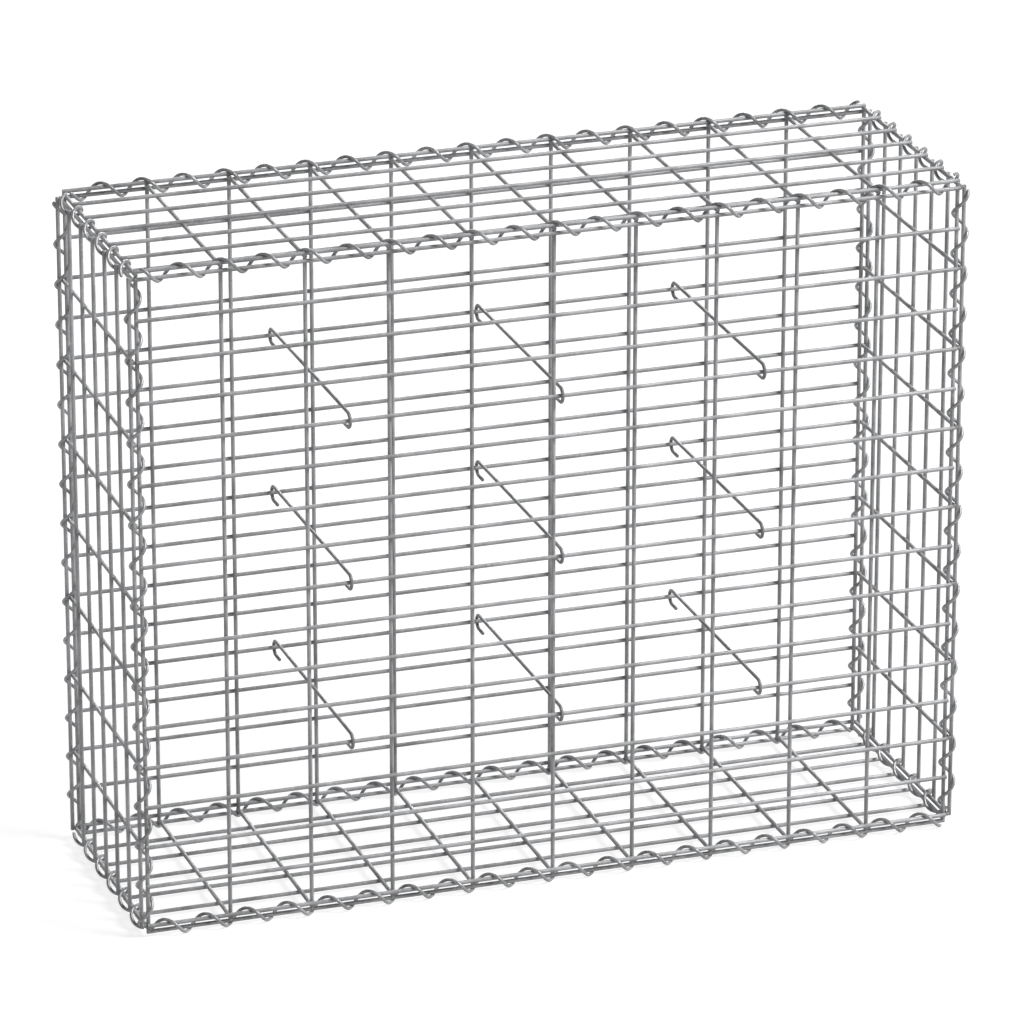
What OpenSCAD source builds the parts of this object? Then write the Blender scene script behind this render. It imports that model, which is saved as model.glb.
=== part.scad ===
// Welded mesh gabion basket: six mesh panels, laced together along all twelve
// edges by spiral binders and held at their distance by nine hooked tie rods.
// Millimetres, +Z up, front at -Y, origin on the ground under the middle of the basket.

/* [Basket] */
// Length between the centres of the end uprights of the front panel
basket_l = 1000; // [400:10:2000]
// Depth between the centres of the edge uprights of an end panel
basket_d = 300; // [200:10:1000]
// Height between the centres of the lowest and highest wires of the front panel
basket_h = 800; // [400:10:1200]

/* [Mesh] */
// Long side of one mesh cell, evened out to whole cells on every panel
cell_l = 100; // [70:5:150]
// Narrow cell sides that fit into one long side
narrow_per_long = 2; // [1:1:3]
// Diameter of the mesh wire
mesh_wire = 4.5; // [3:0.1:5]
// Depth that crossing wires melt into each other at a weld
weld_sink = 0.9; // [0.2:0.1:1]
// Length of wire past the centre of the outermost wire that it is welded to
wire_end = 2.25; // [2:0.05:4]
// Distance of the front and back weld planes outside the edge uprights of the end panels
face_out = 1.4; // [0.5:0.1:2]
// Gap between the wires of neighbouring panels
panel_gap = 0.3; // [0.2:0.1:1]

/* [Spiral binders] */
// Diameter of the spiral wire
spiral_wire = 4; // [3:0.1:5]
// Gap between a spiral and the pair of edge wires inside it
spiral_gap = 0.3; // [0.2:0.1:1]
// Length left bare at each end of the lengthwise and upright edges
spiral_bare = 5; // [3:0.5:30]
// Gap between the ends of the depth spirals and the spirals that run past them
spiral_end_gap = 0.3; // [0.2:0.1:10]

/* [Ties] */
// Diameter of the tie rod
tie_wire = 4; // [3:0.1:5]
// Gap between the bend of a hook and the wire inside it
tie_gap = 0.3; // [0.2:0.1:1]
// Width of a hook between the centres of its rod and its leg
tie_hook = 18; // [12:0.5:30]
// Length of the straight leg that returns under the hooked wire
tie_leg = 15; // [10:1:60]
// Distance of the middle and right ties past the middle of the basket and of their cell
tie_step = 8.5; // [6:0.5:20]

/* [Hidden] */

mesh_zinc = [0.62, 0.63, 0.64];
spiral_zinc = [0.72, 0.73, 0.74];
tie_zinc = [0.45, 0.46, 0.47];

// Facets of the mesh wire, and of the spiral wire across and round one turn
mesh_sides = 8;
spiral_sides = 5;
spiral_steps = 9;
tie_fn = 32;

// Places on an edge or in a row
low = -1;
high = 1;
left = -1;
middle = 0;
right = 1;
front = -1;
back = 1;

// Whole cells along a span: the long pitch and the narrow pitch
function long_count(span) = max(1, round(span / cell_l));
function narrow_count(span) = long_count(span) * narrow_per_long;
function narrow_pitch(span) = span / narrow_count(span);
// Places of the wires along a span that starts at zero
function long_rows(span) = [for (i = [0 : long_count(span)]) i * span / long_count(span)];
function narrow_rows(span) = [for (i = [0 : narrow_count(span)]) i * narrow_pitch(span)];

// Radius to the flats and to the corners of a mesh wire, and the distance of two welded layers
mesh_r = mesh_wire / 2;
mesh_corner_r = mesh_r / cos(180 / mesh_sides);
layer = mesh_wire - weld_sink;
// An inner wire of the ends, lid and base clears the wire ends that point at it
end_reach = max(wire_end, mesh_r) + panel_gap + mesh_r;

// Planes of the inner and outer wires of each panel, measured from the middle or the lowest row
face_in = basket_d / 2 + face_out - layer / 2;
face_outer = face_in + layer;
end_in = basket_l / 2 + end_reach;
end_outer = end_in + layer;
cover_in = end_reach;
cover_outer = cover_in + layer;

// Pairs of edge wires that a spiral holds, as steps across the edge
corner_pair = [end_outer - basket_l / 2, basket_d / 2 - face_in];
length_pair = [basket_d / 2 - face_outer, cover_outer];
depth_pair = [cover_in, basket_l / 2 - end_in];
widest_pair = max(norm(corner_pair), norm(length_pair), norm(depth_pair));

// The spiral wire runs in straight steps, so its corners lie out past the radius of its inside
spiral_r = spiral_wire / 2;
spiral_inner_r = widest_pair / 2 + mesh_corner_r + spiral_gap;
spiral_mean_r = (spiral_inner_r + spiral_r * cos(180 / spiral_sides)) / cos(180 / spiral_steps);
spiral_outer_r = spiral_mean_r + spiral_r;
// Length left bare at each end of a depth edge, where two other spirals run past
depth_bare = spiral_outer_r + spiral_r + spiral_end_gap;

// Angles at which a spiral passes the wires that cross its edge
corner_phase = 30;
length_phase = 70;
depth_phase = 50;

// A spiral's axis: the middle of its pair of wires, moved until the coil rests on the second one
function spiral_axis(first, pair) = first + pair / 2 - pair * (widest_pair / norm(pair) - 1) / 2;

// Points of a right-handed coil, ring by ring, in a frame whose third axis runs along the edge
function coil_rings(axis, phase, start, span, bare) = let (
    pitch = narrow_pitch(span),
    step = pitch / spiral_steps,
    slope = atan2(pitch, 360 * spiral_mean_r * PI / 180),
    first = ceil(bare / step),
    last = floor((span - bare) / step)
) [
    for (i = [first : last]) let (
        turn = phase + 360 * i / spiral_steps,
        out = [cos(turn), sin(turn), 0],
        side = [-sin(turn) * sin(slope), cos(turn) * sin(slope), -cos(slope)],
        centre = [axis.x, axis.y, start + i * step] + spiral_mean_r * out
    ) [
        for (k = [0 : spiral_sides - 1])
            centre + spiral_r * (cos(360 * k / spiral_sides) * out - sin(360 * k / spiral_sides) * side)
    ]
];

// Turns a point of an edge's own frame into the basket's frame
function along_x(p) = [p.z, p.x, p.y];
function along_y(p) = [p.y, p.z, p.x];

// Rings of the spirals on the edges that run along X, along Y and up Z
function length_rings(face, level) = [
    for (ring = coil_rings(
        spiral_axis(
            [face * face_outer, level == high ? basket_h : 0],
            [face * length_pair.x, level * length_pair.y]
        ),
        atan2(level * sin(length_phase), -face * cos(length_phase)),
        -basket_l / 2,
        basket_l,
        spiral_bare
    )) [for (p = ring) along_x(p)]
];
function depth_rings(end, level) = [
    for (ring = coil_rings(
        spiral_axis(
            [level == high ? basket_h : 0, end * end_in],
            [level * depth_pair.x, end * depth_pair.y]
        ),
        atan2(-end * sin(depth_phase), -level * cos(depth_phase)),
        -basket_d / 2,
        basket_d,
        depth_bare
    )) [for (p = ring) along_y(p)]
];
function corner_rings(face, end) = coil_rings(
    spiral_axis(
        [end * basket_l / 2, face * face_in],
        [end * corner_pair.x, face * corner_pair.y]
    ),
    atan2(-face * sin(corner_phase), end * cos(corner_phase)),
    0,
    basket_h,
    spiral_bare
);

// Height of the lowest row of wires above the ground, which the bottom spirals rest on
lowest_row = -min([for (ring = length_rings(front, low)) for (p = ring) p.z]);

// Ties hook round the wires of three rows, beside the middle upright and in two cells left and right of it
tie_r = tie_wire / 2;
tie_bend_r = tie_hook / 2;
// The bends bear on the outsides of the front and back wires
tie_bend_y = face_outer + mesh_r + tie_gap + tie_r - tie_bend_r;
tie_cell = basket_l / long_count(basket_l);
function tie_x(place) = place == middle
    ? round(long_count(basket_l) / 2) * tie_cell - basket_l / 2 + tie_step
    : place * (basket_l / 2 - (floor(long_count(basket_l) / 4) + 0.5) * tie_cell)
        + (place == right ? tie_step : 0);
function tie_row(level) = round(narrow_count(basket_h) * (2 + level) / 4) * narrow_pitch(basket_h);

// Mesh wires along each axis, from one point over a length
module mesh_bar(length) {
    rotate([0, 0, 180 / mesh_sides])
        cylinder(r = mesh_corner_r, h = length, $fn = mesh_sides);
}
module wire_x(y, z) {
    translate([-basket_l / 2 - wire_end, y, z])
        rotate([0, 90, 0])
            mesh_bar(basket_l + 2 * wire_end);
}
module wire_y(x, z) {
    translate([x, basket_d / 2 + wire_end, z])
        rotate([90, 0, 0])
            mesh_bar(basket_d + 2 * wire_end);
}
module wire_z(x, y) {
    translate([x, y, -wire_end])
        mesh_bar(basket_h + 2 * wire_end);
}

// Lifts a piece from the lowest row of wires to its height above the ground
module on_ground() {
    translate([0, 0, lowest_row])
        children();
}

// Front or back: level wires outside, uprights inside
module face_panel(face) {
    color(mesh_zinc) on_ground() {
        for (z = narrow_rows(basket_h))
            wire_x(face * face_outer, z);
        for (x = long_rows(basket_l))
            wire_z(x - basket_l / 2, face * face_in);
    }
}

// Left or right end: uprights outside, level wires inside
module end_panel(end) {
    color(mesh_zinc) on_ground() {
        for (y = narrow_rows(basket_d))
            wire_z(end * end_outer, y - basket_d / 2);
        for (z = long_rows(basket_h))
            wire_y(end * end_in, z);
    }
}

// Base or lid: lengthwise wires outside, cross wires inside
module cover_panel(level) {
    row = level == high ? basket_h : 0;
    color(mesh_zinc) on_ground() {
        for (y = narrow_rows(basket_d))
            wire_x(y - basket_d / 2, row + level * cover_outer);
        for (x = long_rows(basket_l))
            wire_y(x - basket_l / 2, row + level * cover_in);
    }
}

// Wire with flat ends, swept through its rings of points
module spiral(rings) {
    count = len(rings);
    sides = [for (i = [0 : count - 2]) for (k = [0 : spiral_sides - 1]) let (
        a = i * spiral_sides + k,
        b = i * spiral_sides + (k + 1) % spiral_sides
    ) each [[a, b, b + spiral_sides], [a, b + spiral_sides, a + spiral_sides]]];
    start_cap = [for (k = [spiral_sides - 1 : -1 : 0]) k];
    end_cap = [for (k = [0 : spiral_sides - 1]) (count - 1) * spiral_sides + k];
    color(spiral_zinc) on_ground()
        polyhedron(points = [for (ring = rings) each ring], faces = concat(sides, [start_cap, end_cap]));
}

// Rod between the front and back wires of one row, with a hook round the wire at each end
module tie(place, level) {
    color(tie_zinc) on_ground()
        translate([tie_x(place), 0, tie_row(level)]) {
            translate([0, tie_bend_y, tie_bend_r])
                rotate([90, 0, 0])
                    cylinder(d = tie_wire, h = 2 * tie_bend_y, $fn = tie_fn);
            for (face = [front, back])
                translate([0, face * tie_bend_y, 0]) {
                    rotate([0, -90, face == front ? 180 : 0])
                        rotate_extrude(angle = 180, $fn = tie_fn)
                            translate([tie_bend_r, 0])
                                circle(d = tie_wire);
                    translate([0, 0, -tie_bend_r])
                        rotate([face * 90, 0, 0])
                            cylinder(d = tie_wire, h = tie_leg, $fn = tie_fn);
                }
        }
}

module front_panel() face_panel(front);
module back_panel() face_panel(back);
module left_end_panel() end_panel(left);
module right_end_panel() end_panel(right);
module base_panel() cover_panel(low);
module lid_panel() cover_panel(high);

module spiral_top_front() spiral(length_rings(front, high));
module spiral_top_back() spiral(length_rings(back, high));
module spiral_top_left() spiral(depth_rings(left, high));
module spiral_top_right() spiral(depth_rings(right, high));
module spiral_bottom_front() spiral(length_rings(front, low));
module spiral_bottom_back() spiral(length_rings(back, low));
module spiral_bottom_left() spiral(depth_rings(left, low));
module spiral_bottom_right() spiral(depth_rings(right, low));
module spiral_corner_front_left() spiral(corner_rings(front, left));
module spiral_corner_front_right() spiral(corner_rings(front, right));
module spiral_corner_back_left() spiral(corner_rings(back, left));
module spiral_corner_back_right() spiral(corner_rings(back, right));

module tie_low_left() tie(left, low);
module tie_low_middle() tie(middle, low);
module tie_low_right() tie(right, low);
module tie_mid_left() tie(left, middle);
module tie_mid_middle() tie(middle, middle);
module tie_mid_right() tie(right, middle);
module tie_high_left() tie(left, high);
module tie_high_middle() tie(middle, high);
module tie_high_right() tie(right, high);

front_panel();
back_panel();
left_end_panel();
right_end_panel();
base_panel();
lid_panel();
spiral_top_front();
spiral_top_back();
spiral_top_left();
spiral_top_right();
spiral_bottom_front();
spiral_bottom_back();
spiral_bottom_left();
spiral_bottom_right();
spiral_corner_front_left();
spiral_corner_front_right();
spiral_corner_back_left();
spiral_corner_back_right();
tie_low_left();
tie_low_middle();
tie_low_right();
tie_mid_left();
tie_mid_middle();
tie_mid_right();
tie_high_left();
tie_high_middle();
tie_high_right();
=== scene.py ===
# Welded mesh gabion basket: galvanised wire panels, spiral binders and hooked tie rods.
import itertools
import math

import bmesh
import bpy
import numpy as np
from mathutils import Matrix, Vector


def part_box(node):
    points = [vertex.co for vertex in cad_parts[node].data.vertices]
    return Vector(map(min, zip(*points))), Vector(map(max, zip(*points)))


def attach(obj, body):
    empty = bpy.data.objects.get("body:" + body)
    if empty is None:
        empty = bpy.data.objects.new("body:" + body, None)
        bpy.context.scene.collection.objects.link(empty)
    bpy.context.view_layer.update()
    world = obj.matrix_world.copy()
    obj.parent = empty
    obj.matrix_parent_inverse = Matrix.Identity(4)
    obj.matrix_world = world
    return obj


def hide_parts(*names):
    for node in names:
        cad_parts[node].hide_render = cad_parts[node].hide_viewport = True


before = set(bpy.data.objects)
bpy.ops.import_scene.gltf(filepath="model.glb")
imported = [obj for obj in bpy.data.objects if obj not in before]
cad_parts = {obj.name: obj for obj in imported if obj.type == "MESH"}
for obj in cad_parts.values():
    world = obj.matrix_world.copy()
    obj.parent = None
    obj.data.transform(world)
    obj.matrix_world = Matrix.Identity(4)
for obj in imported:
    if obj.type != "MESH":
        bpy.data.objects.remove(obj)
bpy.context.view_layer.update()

# Sizes in metres, as in the part's source. The basket is measured between the middles of its edge wires.
LENGTH, DEPTH, HEIGHT = 1.0, 0.3, 0.8
LONG_PITCH, NARROW_PITCH = 0.1, 0.05
WIRE_HALF = 0.00225  # half the mesh wire, across the flats of the solids
WIRE_R = 0.00243  # the round mesh wire, through the corners of those flats
LAYER = 0.0036  # from a panel's outer wires to its inner ones, which sink into each other at the welds
WIRE_END = 0.00225  # a wire's overhang past the last crossing
FLOOR_TO_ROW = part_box("front_panel")[0].z + WIRE_END
START = (-LENGTH / 2, -DEPTH / 2, FLOOR_TO_ROW)  # the first crossing along each axis

AXES = "xyz"
LEVELS = ((1, "top"), (-1, "bottom"))
FACES = ((-1, "front"), (1, "back"))
ENDS = ((-1, "left"), (1, "right"))

# How finely a wire is modelled
WIRE_SIDES = 16
END_ROUND, END_SEGMENTS = 0.0005, 2
WIRE_SMOOTH, BEAD_SMOOTH, BEND_SMOOTH = 40, 80, 45  # degrees
SAME_PLACE = 1e-6


# ---------------------------------------------------------------- bench tools
def deselect():
    if bpy.context.mode != "OBJECT":
        bpy.ops.object.mode_set(mode="OBJECT")
    bpy.ops.object.select_all(action="DESELECT")


def hold(piece):
    """Makes one piece the only selected and active one."""
    deselect()
    piece.select_set(True)
    bpy.context.view_layer.objects.active = piece


def settle(piece):
    """Puts a piece's place into its mesh and leaves the piece at the origin."""
    hold(piece)
    bpy.ops.object.transform_apply(location=True, rotation=True, scale=True)


def on_axes(parts):
    """A place or step, from its values by axis number. The axes not given are 0."""
    made = Vector((0, 0, 0))
    for axis, value in parts.items():
        made[axis] = value
    return made


def pick_edges(piece, wanted):
    """Selects the edges of a piece in edit mode that a test on their ends accepts."""
    bpy.ops.mesh.select_mode(type="EDGE")
    bpy.ops.mesh.select_all(action="DESELECT")
    shape = bmesh.from_edit_mesh(piece.data)
    for edge in shape.edges:
        edge.select_set(wanted(edge.verts[0].co, edge.verts[1].co))
    bmesh.update_edit_mesh(piece.data)


def pick_end_rims():
    """Selects the rims of a wire's flat cut ends, in edit mode."""
    bpy.ops.mesh.select_mode(type="FACE")
    bpy.ops.mesh.select_all(action="DESELECT")
    bpy.ops.mesh.select_face_by_sides(number=4, type="GREATER")
    bpy.ops.mesh.region_to_loop()


def round_ends():
    """Takes the edge off the selected rims, as the shears and the zinc bath do."""
    bpy.ops.mesh.bevel(offset=END_ROUND, offset_type="OFFSET", segments=END_SEGMENTS, affect="EDGES")


def row_of(piece, count, axis, pitch):
    """Copies a piece in a straight row, within its own mesh."""
    hold(piece)
    row = piece.modifiers.new("row", "ARRAY")
    row.count = count
    row.use_relative_offset = False
    row.use_constant_offset = True
    row.constant_offset_displace = on_axes({AXES.index(axis): pitch})
    bpy.ops.object.modifier_apply(modifier=row.name)


def smooth(piece, angle):
    hold(piece)
    bpy.ops.object.shade_smooth_by_angle(angle=math.radians(angle))


def points_of(piece):
    co = np.zeros(len(piece.data.vertices) * 3)
    piece.data.vertices.foreach_get("co", co)
    return co.reshape(-1, 3)


def note_run(piece, values):
    """Keeps each point's place on the straightened wire, for the drawing marks in the zinc."""
    run = piece.data.attributes.new("wire_run", "FLOAT_VECTOR", "POINT")
    run.data.foreach_set("vector", np.asarray(values, np.float32).ravel())


# ---------------------------------------------------------------- finishes
WHITE = (1, 1, 1, 1)
MESH_TONE = (0.53, 0.533, 0.538)
SPIRAL_TONE = (0.45, 0.453, 0.458)
TIE_TONE = (0.3, 0.302, 0.306)
MESH_ROUGH, SPIRAL_ROUGH, TIE_ROUGH = 0.5, 0.28, 0.45

# Pattern scales, in steps a metre. The drawing marks are long along the wire and fine across it.
SPANGLE_SCALE, CLOUD_SCALE, FILM_SCALE, PIT_SCALE = 520.0, 24.0, 130.0, 900.0
MARK_SCALE = (45.0, 1900.0, 1900.0)

CLOUD_DARK, CLOUD_BRIGHT = 0.72, 1.28
SPANGLE_SHADE = (0.8, 0.8, 0.82, 1)
MARK_SHADE = (0.82, 0.82, 0.83, 1)
OXIDE_GAIN, OXIDE_LIFT, OXIDE_COVER, OXIDE_ROUGH = 1.15, 0.03, 0.55, 0.22
BARE_METAL, METAL_RANGE = 0.16, 0.08
ZINC_RELIEF, ZINC_DEPTH, FILM_RELIEF = 0.35, 0.00012, 0.6

HEAT_CORE, HEAT_REACH, HEAT_RAGGED = 0.0022, 0.0075, 0.002  # metres from the weld along the wire
HEAT_TINT = (0.52, 0.5, 0.49)
HEAT_COVER, HEAT_ROUGH = 0.2, 0.16

BEAD_DARK, BEAD_PALE, BEAD_METAL = 0.85, 1.3, 0.15
BEAD_RELIEF, BEAD_DEPTH = 0.5, 0.0002


def put(tree, socket, value):
    """Links an output to a socket, or sets a plain value on it."""
    if isinstance(value, bpy.types.NodeSocket):
        tree.links.new(value, socket)
    else:
        socket.default_value = value


def add(tree, kind, inputs=None, **settings):
    made = tree.nodes.new(kind)
    for key, value in settings.items():
        setattr(made, key, value)
    for key, value in (inputs or {}).items():
        put(tree, made.inputs[key], value)
    return made


def spread(tree, value, low, high, to_low=0.0, to_high=1.0):
    """Maps a range of values on to another, held at its ends."""
    return add(tree, "ShaderNodeMapRange", {
        "Value": value, "From Min": low, "From Max": high, "To Min": to_low, "To Max": to_high,
    }).outputs["Result"]


def reckon(tree, how, first, second):
    return add(tree, "ShaderNodeMath", {0: first, 1: second}, operation=how).outputs[0]


def blend(tree, factor, first, second, how="MIX"):
    mix = add(tree, "ShaderNodeMix", data_type="RGBA", blend_type=how)
    for socket, value in ((mix.inputs[0], factor), (mix.inputs[6], first), (mix.inputs[7], second)):
        put(tree, socket, value)
    return mix.outputs[2]


def noise(tree, place, scale, detail, **settings):
    inputs = {"Vector": place, "Scale": scale, "Detail": detail, **settings}
    return add(tree, "ShaderNodeTexNoise", inputs).outputs["Fac"]


def toned(tone, gain, lift=0.0):
    return [min(1, c * gain + lift) for c in tone] + [1]


def new_finish(name):
    """A new material, its node tree and its surface shader."""
    finish = bpy.data.materials.new(name)
    finish.use_nodes = True
    return finish, finish.node_tree, finish.node_tree.nodes["Principled BSDF"]


def zinc(name, tone, roughness, weld_axis=None, weld_pitch=None):
    """Galvanised wire: zinc spangle, drawing marks along the wire, dull oxide film and heat marks at welds."""
    finish, tree, shader = new_finish(name)
    place = add(tree, "ShaderNodeTexCoord").outputs["Object"]
    run = add(tree, "ShaderNodeAttribute", attribute_name="wire_run").outputs["Vector"]

    crystal = add(tree, "ShaderNodeTexVoronoi", {"Vector": place, "Scale": SPANGLE_SCALE}).outputs["Color"]
    crystal = add(tree, "ShaderNodeSeparateColor", {"Color": crystal}).outputs["Red"]
    cloud = noise(tree, place, CLOUD_SCALE, 3.0)
    stretched = add(tree, "ShaderNodeMapping", {"Vector": run, "Scale": MARK_SCALE}).outputs["Vector"]
    marks = noise(tree, stretched, 1.0, 3.0)
    film = spread(tree, noise(tree, place, FILM_SCALE, 6.0, Roughness=0.68), 0.5, 0.68)

    colour = blend(tree, spread(tree, cloud, 0.3, 0.7), toned(tone, CLOUD_DARK), toned(tone, CLOUD_BRIGHT))
    flecked = blend(tree, 1.0, colour, blend(tree, crystal, SPANGLE_SHADE, WHITE), "MULTIPLY")
    scored = blend(tree, 1.0, flecked, MARK_SHADE, "MULTIPLY")
    lined = blend(tree, spread(tree, marks, 0.35, 0.65), scored, flecked)
    film_part = spread(tree, film, 0.0, 1.0, 0.0, OXIDE_COVER)
    base = blend(tree, film_part, lined, toned(tone, OXIDE_GAIN, OXIDE_LIFT))
    rough = spread(tree, crystal, 0.0, 1.0, roughness - 0.06, roughness + 0.08)
    rough = reckon(tree, "ADD", rough, spread(tree, film, 0.0, 1.0, 0.0, OXIDE_ROUGH))
    metal = spread(tree, film, 0.0, 1.0, BARE_METAL + METAL_RANGE, BARE_METAL - METAL_RANGE)

    if weld_axis is not None:
        a = AXES.index(weld_axis)
        along = add(tree, "ShaderNodeSeparateXYZ", {"Vector": place}).outputs[a]
        along = reckon(tree, "SUBTRACT", along, START[a])
        gap = reckon(tree, "PINGPONG", along, weld_pitch / 2)
        ragged = reckon(tree, "ADD", gap, spread(tree, marks, 0.0, 1.0, -HEAT_RAGGED, HEAT_RAGGED))
        heat = spread(tree, ragged, HEAT_CORE, HEAT_REACH, 1.0, 0.0)
        burnt = [c * tint for c, tint in zip(tone, HEAT_TINT)] + [1]
        base = blend(tree, reckon(tree, "MULTIPLY", heat, HEAT_COVER), base, burnt)
        rough = reckon(tree, "ADD", rough, spread(tree, heat, 0.0, 1.0, 0.0, HEAT_ROUGH))

    relief = reckon(tree, "ADD", marks, spread(tree, film, 0.0, 1.0, 0.0, FILM_RELIEF))
    bump = add(tree, "ShaderNodeBump", {"Strength": ZINC_RELIEF, "Distance": ZINC_DEPTH, "Height": relief})
    put(tree, shader.inputs["Base Color"], base)
    put(tree, shader.inputs["Roughness"], rough)
    put(tree, shader.inputs["Metallic"], metal)
    put(tree, shader.inputs["Normal"], bump.outputs["Normal"])
    return finish


def weld_finish(tone):
    """Zinc over a squeezed weld bead: dull, pale and pitted."""
    finish, tree, shader = new_finish("weld_bead")
    place = add(tree, "ShaderNodeTexCoord").outputs["Object"]
    pits = noise(tree, place, PIT_SCALE, 4.0)
    colour = blend(tree, spread(tree, pits, 0.35, 0.65), toned(tone, BEAD_DARK), toned(tone, BEAD_PALE))
    bump = add(tree, "ShaderNodeBump", {"Strength": BEAD_RELIEF, "Distance": BEAD_DEPTH, "Height": pits})
    put(tree, shader.inputs["Base Color"], colour)
    put(tree, shader.inputs["Roughness"], spread(tree, pits, 0.3, 0.7, 0.48, 0.66))
    put(tree, shader.inputs["Metallic"], BEAD_METAL)
    put(tree, shader.inputs["Normal"], bump.outputs["Normal"])
    return finish


FINISH = {
    "x": zinc("mesh_zinc_lengthwise", MESH_TONE, MESH_ROUGH, "x", LONG_PITCH),
    "y": zinc("mesh_zinc_crosswise", MESH_TONE, MESH_ROUGH, "y", NARROW_PITCH),
    "z": zinc("mesh_zinc_upright", MESH_TONE, MESH_ROUGH, "z", NARROW_PITCH),
    "z_end": zinc("mesh_zinc_end_upright", MESH_TONE, MESH_ROUGH, "z", LONG_PITCH),
    "weld": weld_finish(MESH_TONE),
    "spiral": zinc("spiral_zinc", SPIRAL_TONE, SPIRAL_ROUGH),
    "tie": zinc("tie_zinc", TIE_TONE, TIE_ROUGH),
}


# ---------------------------------------------------------------- mesh panels
TURN = {"x": (0, math.pi / 2, 0), "y": (math.pi / 2, 0, 0), "z": (0, 0, 0)}
BEAD_R, BEAD_FLAT = 0.0029, 0.42
BEAD_SIDES, BEAD_RINGS = 8, 5
MESH_MARK_SHIFT = 3.1  # moves the drawing marks on from one mesh wire to the next


def wire_layer(name, along, across, facing, level, reach, rows, finish):
    """One layer of a panel: a sheared wire along one axis, repeated across another."""
    a, b, c = (AXES.index(axis) for axis in (along, across, facing))
    low, high = reach
    pitch, count = rows
    deselect()
    bpy.ops.mesh.primitive_cylinder_add(
        vertices=WIRE_SIDES, radius=WIRE_R, depth=high - low, end_fill_type="NGON",
        location=on_axes({a: (low + high) / 2, b: START[b], c: level}), rotation=TURN[along],
    )
    layer = bpy.context.object
    layer.name = name
    settle(layer)
    bpy.ops.object.mode_set(mode="EDIT")
    pick_edges(layer, lambda p, q: abs(p[a] - q[a]) < SAME_PLACE)
    round_ends()
    bpy.ops.object.mode_set(mode="OBJECT")
    smooth(layer, WIRE_SMOOTH)
    row_of(layer, count, across, pitch)
    co = points_of(layer)
    number = np.round((co[:, b] - START[b]) / pitch)
    note_run(layer, np.stack([
        co[:, a] + MESH_MARK_SHIFT * number, co[:, b] - START[b] - number * pitch, co[:, c] - level,
    ], 1))
    layer.data.materials.append(finish)
    return layer


def weld_beads(name, facing, level, first, second):
    """Squeezed beads in the corners of every crossing of a panel's two layers."""
    centre = on_axes({AXES.index(facing): level})
    for along, _, _ in (first, second):
        centre[AXES.index(along)] = START[AXES.index(along)]
    deselect()
    bpy.ops.mesh.primitive_uv_sphere_add(
        segments=BEAD_SIDES, ring_count=BEAD_RINGS, radius=BEAD_R, location=centre, rotation=TURN[facing],
    )
    beads = bpy.context.object
    beads.name = name
    settle(beads)
    bpy.ops.object.mode_set(mode="EDIT")
    bpy.ops.mesh.select_all(action="SELECT")
    squash = [BEAD_FLAT if axis == facing else 1.0 for axis in AXES]
    bpy.ops.transform.resize(value=squash, center_override=centre)
    bpy.ops.object.mode_set(mode="OBJECT")
    smooth(beads, BEAD_SMOOTH)
    for along, pitch, count in (first, second):
        row_of(beads, count, along, pitch)
    note_run(beads, points_of(beads))
    beads.data.materials.append(FINISH["weld"])
    return beads


def mesh_panel(name, node, facing, side, outer, inner):
    """A flat welded panel: outer wires along one axis, inner wires along the other, beads where they cross."""
    low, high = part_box(node)
    n, o, i = (AXES.index(axis) for axis in (facing, outer, inner))
    outer_level = high[n] - WIRE_HALF if side > 0 else low[n] + WIRE_HALF
    inner_level = outer_level - side * LAYER
    outer_count = round((high[i] - low[i] - 2 * WIRE_END) / NARROW_PITCH) + 1
    inner_count = round((high[o] - low[o] - 2 * WIRE_END) / LONG_PITCH) + 1
    outer_finish = FINISH["z_end" if facing == "x" else outer]
    parts = [
        wire_layer(name, outer, inner, facing, outer_level, (low[o], high[o]),
                   (NARROW_PITCH, outer_count), outer_finish),
        wire_layer(name + "_inner", inner, outer, facing, inner_level, (low[i], high[i]),
                   (LONG_PITCH, inner_count), FINISH[inner]),
        weld_beads(name + "_welds", facing, (outer_level + inner_level) / 2,
                   (inner, NARROW_PITCH, outer_count), (outer, LONG_PITCH, inner_count)),
    ]
    hold(parts[0])
    for part in parts[1:]:
        part.select_set(True)
    bpy.ops.object.join()
    panel = bpy.context.object
    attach(panel, "root")
    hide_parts(node)


mesh_panel("front_welded_mesh", "front_panel", "y", -1, "x", "z")
mesh_panel("back_welded_mesh", "back_panel", "y", 1, "x", "z")
mesh_panel("left_end_welded_mesh", "left_end_panel", "x", -1, "z", "y")
mesh_panel("right_end_welded_mesh", "right_end_panel", "x", 1, "z", "y")
mesh_panel("base_welded_mesh", "base_panel", "z", -1, "x", "y")
mesh_panel("lid_welded_mesh", "lid_panel", "z", 1, "x", "y")


# ---------------------------------------------------------------- spiral binders
COIL_R, COIL_WIRE_R = 0.0087, 0.00205
COIL_SIDES, COIL_STEPS = 12, 40
COIL_LEAD = math.atan2(NARROW_PITCH, 2 * math.pi * COIL_R)
ROUND = {"x": "yz", "y": "zx", "z": "xy"}  # the two axes that a spiral along the first one turns through
RUN = {"x": LENGTH, "y": DEPTH, "z": HEIGHT}

# Where the spirals' middle lines lie, from the middle of the basket or up from its lowest row of crossings
LENGTH_AXIS = (0.1516, 0.8042)  # across, up
DEPTH_AXIS = (0.80162195, 0.50317805)  # up, along
CORNER_AXIS = (0.50391065, 0.14978622)  # along, across
LENGTH_TILT, DEPTH_TILT, CORNER_TILT = math.radians(70), math.radians(50), math.radians(30)

# How far a spiral stops short of the end of its edge, in ninths of a turn as in the solids
LONG_BARE = NARROW_PITCH / 9
DEPTH_BARE = 3 * NARROW_PITCH / 9


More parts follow.
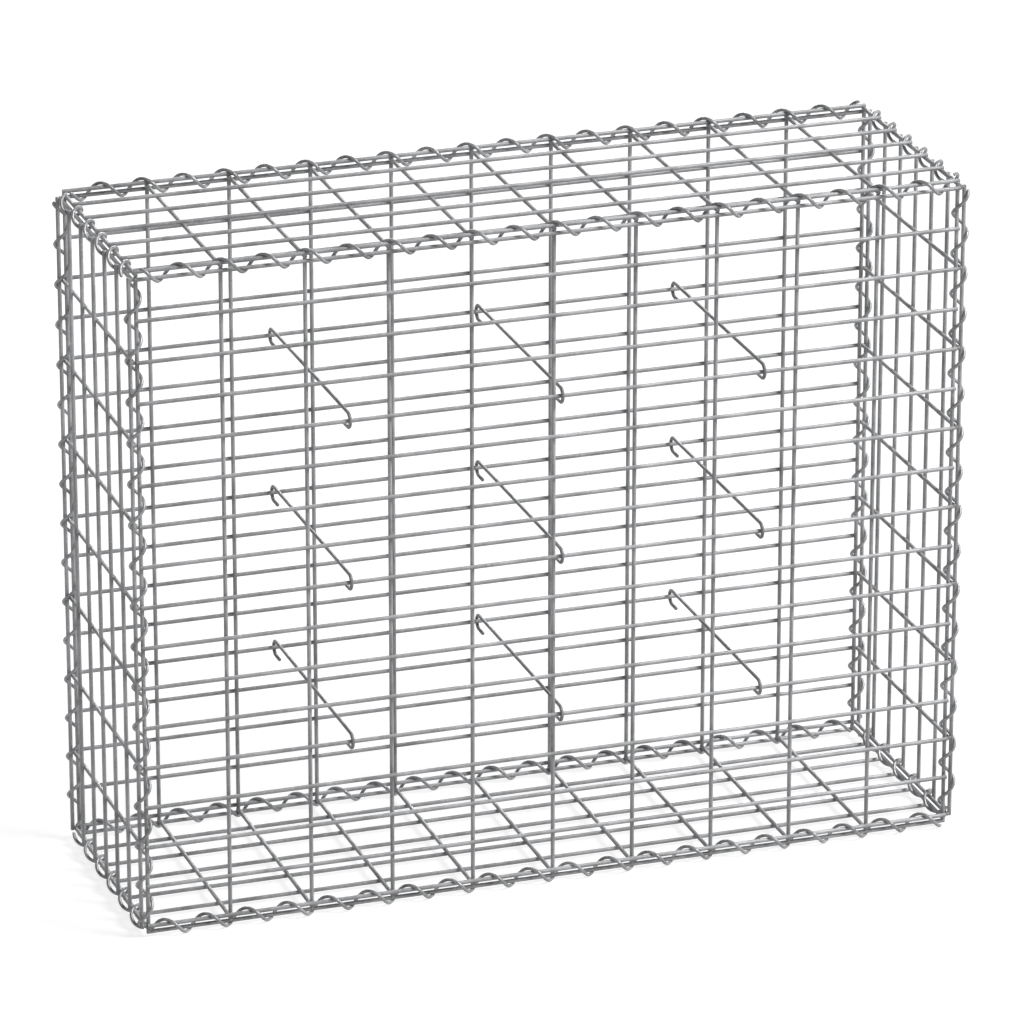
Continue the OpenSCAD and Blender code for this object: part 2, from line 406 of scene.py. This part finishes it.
def spiral(name, node, along, axis, phase, bare):
    """A right-handed wire coil along an edge. It passes the crossing mesh wires at the angle given as phase."""
    a = AXES.index(along)
    b, c = (AXES.index(x) for x in ROUND[along])
    run = RUN[along] - 2 * bare
    turns = run / NARROW_PITCH

    # The wire's section, lengthened to suit the slope, is wound up round an upright axis
    deselect()
    bpy.ops.mesh.primitive_circle_add(vertices=COIL_SIDES, radius=COIL_WIRE_R, fill_type="NOTHING")
    coil = bpy.context.object
    coil.name = name
    bpy.ops.object.mode_set(mode="EDIT")
    bpy.ops.mesh.select_all(action="SELECT")
    bpy.ops.transform.resize(value=(1, 1 / math.cos(COIL_LEAD), 1), center_override=(0, 0, 0))
    bpy.ops.transform.rotate(value=math.pi / 2, orient_axis="X", center_override=(0, 0, 0))
    bpy.ops.transform.translate(value=(COIL_R, 0, 0))
    bpy.ops.object.mode_set(mode="OBJECT")
    screw = coil.modifiers.new("coil", "SCREW")
    screw.angle = 2 * math.pi * turns
    screw.screw_offset = run
    screw.steps = screw.render_steps = round(turns * COIL_STEPS)
    screw.use_merge_vertices = False
    bpy.ops.object.modifier_apply(modifier=screw.name)

    # Its two ends are closed and rounded
    bpy.ops.object.mode_set(mode="EDIT")
    bpy.ops.mesh.select_mode(type="EDGE")
    bpy.ops.mesh.select_all(action="SELECT")
    bpy.ops.mesh.fill_holes(sides=COIL_SIDES)
    pick_end_rims()
    round_ends()
    bpy.ops.mesh.select_all(action="SELECT")
    bpy.ops.mesh.normals_make_consistent(inside=False)
    bpy.ops.object.mode_set(mode="OBJECT")

    # Each point's place along the straightened wire
    co = points_of(coil)
    angle = np.arctan2(co[:, 1], co[:, 0]) / (2 * math.pi)
    turn = np.round(co[:, 2] / NARROW_PITCH - angle)
    middle = (turn + angle) * NARROW_PITCH
    from_axis = np.hypot(co[:, 0], co[:, 1])
    note_run(coil, np.stack([
        middle / math.sin(COIL_LEAD), from_axis - COIL_R, (co[:, 2] - middle) * math.cos(COIL_LEAD),
    ], 1))

    # The coil is turned to its phase and laid along its edge
    begin = phase + 2 * math.pi * bare / NARROW_PITCH
    out = on_axes({b: math.cos(begin), c: math.sin(begin)})
    side = on_axes({b: -math.sin(begin), c: math.cos(begin)})
    seat = Matrix((out, side, on_axes({a: 1}))).transposed().to_4x4()
    seat.translation = on_axes({a: START[a] + bare, b: axis[0], c: axis[1]})
    coil.matrix_world = seat
    settle(coil)
    smooth(coil, BEND_SMOOTH)
    coil.data.materials.append(FINISH["spiral"])
    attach(coil, "root")
    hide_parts(node)


def level_of(level, height):
    return FLOOR_TO_ROW + (height if level > 0 else HEIGHT - height)


for level, level_name in LEVELS:
    for face, face_name in FACES:
        spiral(
            f"{level_name}_{face_name}_spiral_binder", f"spiral_{level_name}_{face_name}", "x",
            (face * LENGTH_AXIS[0], level_of(level, LENGTH_AXIS[1])),
            math.atan2(level * math.sin(LENGTH_TILT), -face * math.cos(LENGTH_TILT)), LONG_BARE,
        )
    for end, end_name in ENDS:
        spiral(
            f"{level_name}_{end_name}_spiral_binder", f"spiral_{level_name}_{end_name}", "y",
            (level_of(level, DEPTH_AXIS[0]), end * DEPTH_AXIS[1]),
            math.atan2(-end * math.sin(DEPTH_TILT), -level * math.cos(DEPTH_TILT)), DEPTH_BARE,
        )
for face, face_name in FACES:
    for end, end_name in ENDS:
        spiral(
            f"corner_{face_name}_{end_name}_spiral_binder", f"spiral_corner_{face_name}_{end_name}", "z",
            (end * CORNER_AXIS[0], face * CORNER_AXIS[1]),
            math.atan2(-face * math.sin(CORNER_TILT), end * math.cos(CORNER_TILT)), LONG_BARE,
        )


# ---------------------------------------------------------------- ties
TIE_R, TIE_SIDES = 0.0021, 16
TIE_BEND_R, TIE_BEND_STEPS = 0.009, 14
TIE_BEND_Y = 0.14875  # the middle of each bend, in front of and behind the basket's middle
TIE_LEG = 0.015
TIE_ROWS = (("low", 0.2), ("mid", 0.4), ("high", 0.6))
TIE_PLACES = (("left", -0.25), ("middle", 0.0085), ("right", 0.2585))
TIE_MARK_SHIFT = 2.3  # moves the drawing marks on from one tie to the next


def pull(distance):
    """Draws the selected end of a wire straight on."""
    bpy.ops.mesh.extrude_region_move(TRANSFORM_OT_translate={"value": (0, distance, 0)})


def curl(y):
    """Bends the selected end of a wire half round, outwards over the wire that it holds."""
    bpy.ops.mesh.spin(
        steps=TIE_BEND_STEPS, angle=math.pi, center=(0, y, 0), axis=(1, 0, 0), use_auto_merge=False,
    )


def hooked_tie(name):
    """A rod bent into a hook at each end, drawn from the tip of one leg to the tip of the other."""
    deselect()
    bpy.ops.mesh.primitive_circle_add(
        vertices=TIE_SIDES, radius=TIE_R, fill_type="NGON",
        location=(0, TIE_LEG - TIE_BEND_Y, -TIE_BEND_R), rotation=TURN["y"],
    )
    tie = bpy.context.object
    tie.name = name
    settle(tie)
    bpy.ops.object.mode_set(mode="EDIT")
    bpy.ops.mesh.select_mode(type="FACE")
    bpy.ops.mesh.select_all(action="SELECT")
    pull(-TIE_LEG)
    curl(-TIE_BEND_Y)
    pull(2 * TIE_BEND_Y)
    curl(TIE_BEND_Y)
    pull(-TIE_LEG)
    bpy.ops.mesh.select_all(action="SELECT")
    bpy.ops.mesh.remove_doubles(threshold=SAME_PLACE)
    bpy.ops.mesh.normals_make_consistent(inside=False)
    pick_end_rims()
    round_ends()
    bpy.ops.object.mode_set(mode="OBJECT")
    smooth(tie, BEND_SMOOTH)
    tie.data.materials.append(FINISH["tie"])
    return tie


pattern = hooked_tie("tie_pattern")
for number, ((row_name, row), (place_name, x)) in enumerate(itertools.product(TIE_ROWS, TIE_PLACES)):
    hold(pattern)
    bpy.ops.object.duplicate()
    tie = bpy.context.object
    tie.name = f"{row_name}_{place_name}_hooked_tie"
    wire_run = points_of(tie)[:, [1, 0, 2]]
    wire_run[:, 0] += TIE_MARK_SHIFT * number
    note_run(tie, wire_run)
    tie.location = (x, 0, FLOOR_TO_ROW + row)
    settle(tie)
    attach(tie, "root")
    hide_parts(f"tie_{row_name}_{place_name}")
hold(pattern)
bpy.ops.object.delete()


# ---------------------------------------------------------------- studio
FLOOR_SIZE = 160
PAPER_TONE = (0.35, 0.35, 0.35, 1)
PAPER_GLOW = 0.78  # lifts the paper to white where it is seen, and leaves its shadow
SKY_FADE = (0.09, 0.3)  # how far up the white round the horizon fades
SKY_WHITE, SKY_SOFT = 0.8, 0.2
CAMERA_PLACE, CAMERA_AIM = (-2.5437, -7.45214, 3.476687), (0, 0, 0.4149)
CAMERA_LENS, CAMERA_SENSOR, CAMERA_REACH = 250, 36, 400
LAMP_AIM = (0, 0, 0.4)


def aim(holder, place, target):
    """Puts a lamp or camera at a place and points it at a target."""
    holder.location = place
    holder.rotation_euler = (Vector(target) - Vector(place)).to_track_quat("-Z", "Y").to_euler()


def white_floor():
    """A wide sheet of pale paper that takes the shadow."""
    deselect()
    bpy.ops.mesh.primitive_plane_add(size=FLOOR_SIZE, location=(0, 0, 0))
    floor = bpy.context.object
    floor.name = "studio_floor"
    paper = bpy.data.materials.new("white_paper")
    paper.use_nodes = True
    tree = paper.node_tree
    tree.nodes.clear()
    ray = add(tree, "ShaderNodeLightPath").outputs
    seen = reckon(tree, "MAXIMUM", ray["Is Camera Ray"], ray["Is Glossy Ray"])
    seen = reckon(tree, "MAXIMUM", seen, ray["Is Transmission Ray"])
    lift = reckon(tree, "MULTIPLY", seen, PAPER_GLOW)
    matt = add(tree, "ShaderNodeBsdfDiffuse", {"Color": PAPER_TONE}).outputs["BSDF"]
    glow = add(tree, "ShaderNodeEmission", {"Color": WHITE, "Strength": lift}).outputs["Emission"]
    both = add(tree, "ShaderNodeAddShader", {0: matt, 1: glow}).outputs["Shader"]
    add(tree, "ShaderNodeOutputMaterial", {"Surface": both})
    floor.data.materials.append(paper)


def studio_sky():
    """Soft light from all round, with a white horizon that lights no matt surface."""
    world = bpy.data.worlds.new("studio")
    bpy.context.scene.world = world
    world.use_nodes = True
    tree = world.node_tree
    tree.nodes.clear()
    towards = add(tree, "ShaderNodeTexCoord").outputs["Generated"]
    upward = add(tree, "ShaderNodeSeparateXYZ", {"Vector": towards}).outputs["Z"]
    horizon = spread(tree, upward, *SKY_FADE, SKY_WHITE, 0.0)
    ray = add(tree, "ShaderNodeLightPath").outputs
    not_matt = spread(tree, ray["Is Diffuse Ray"], 0.0, 1.0, 1.0, 0.0)
    level = reckon(tree, "ADD", reckon(tree, "MULTIPLY", horizon, not_matt), SKY_SOFT)
    background = add(tree, "ShaderNodeBackground", {"Color": WHITE, "Strength": level})
    add(tree, "ShaderNodeOutputWorld", {"Surface": background.outputs["Background"]})


def sun_lamp(name, strength, place, softness):
    """A broad, even light. The softness is its width in degrees."""
    light = bpy.data.lights.new(name, "SUN")
    light.energy = strength
    light.angle = math.radians(softness)
    holder = bpy.data.objects.new(name, light)
    bpy.context.scene.collection.objects.link(holder)
    aim(holder, place, LAMP_AIM)
    holder.visible_camera = False


def photo_camera():
    view = bpy.data.cameras.new("photo_view")
    view.sensor_width = CAMERA_SENSOR
    view.lens = CAMERA_LENS
    view.clip_end = CAMERA_REACH
    camera = bpy.data.objects.new("photo_view", view)
    bpy.context.scene.collection.objects.link(camera)
    aim(camera, CAMERA_PLACE, CAMERA_AIM)
    bpy.context.scene.camera = camera


white_floor()
studio_sky()
sun_lamp("key_light", strength=2.9, place=(2.2, -1.2, 3.2), softness=22)
sun_lamp("back_light", strength=1.3, place=(1.0, 3.0, 1.2), softness=30)
photo_camera()
bpy.context.scene.view_settings.view_transform = "Standard"
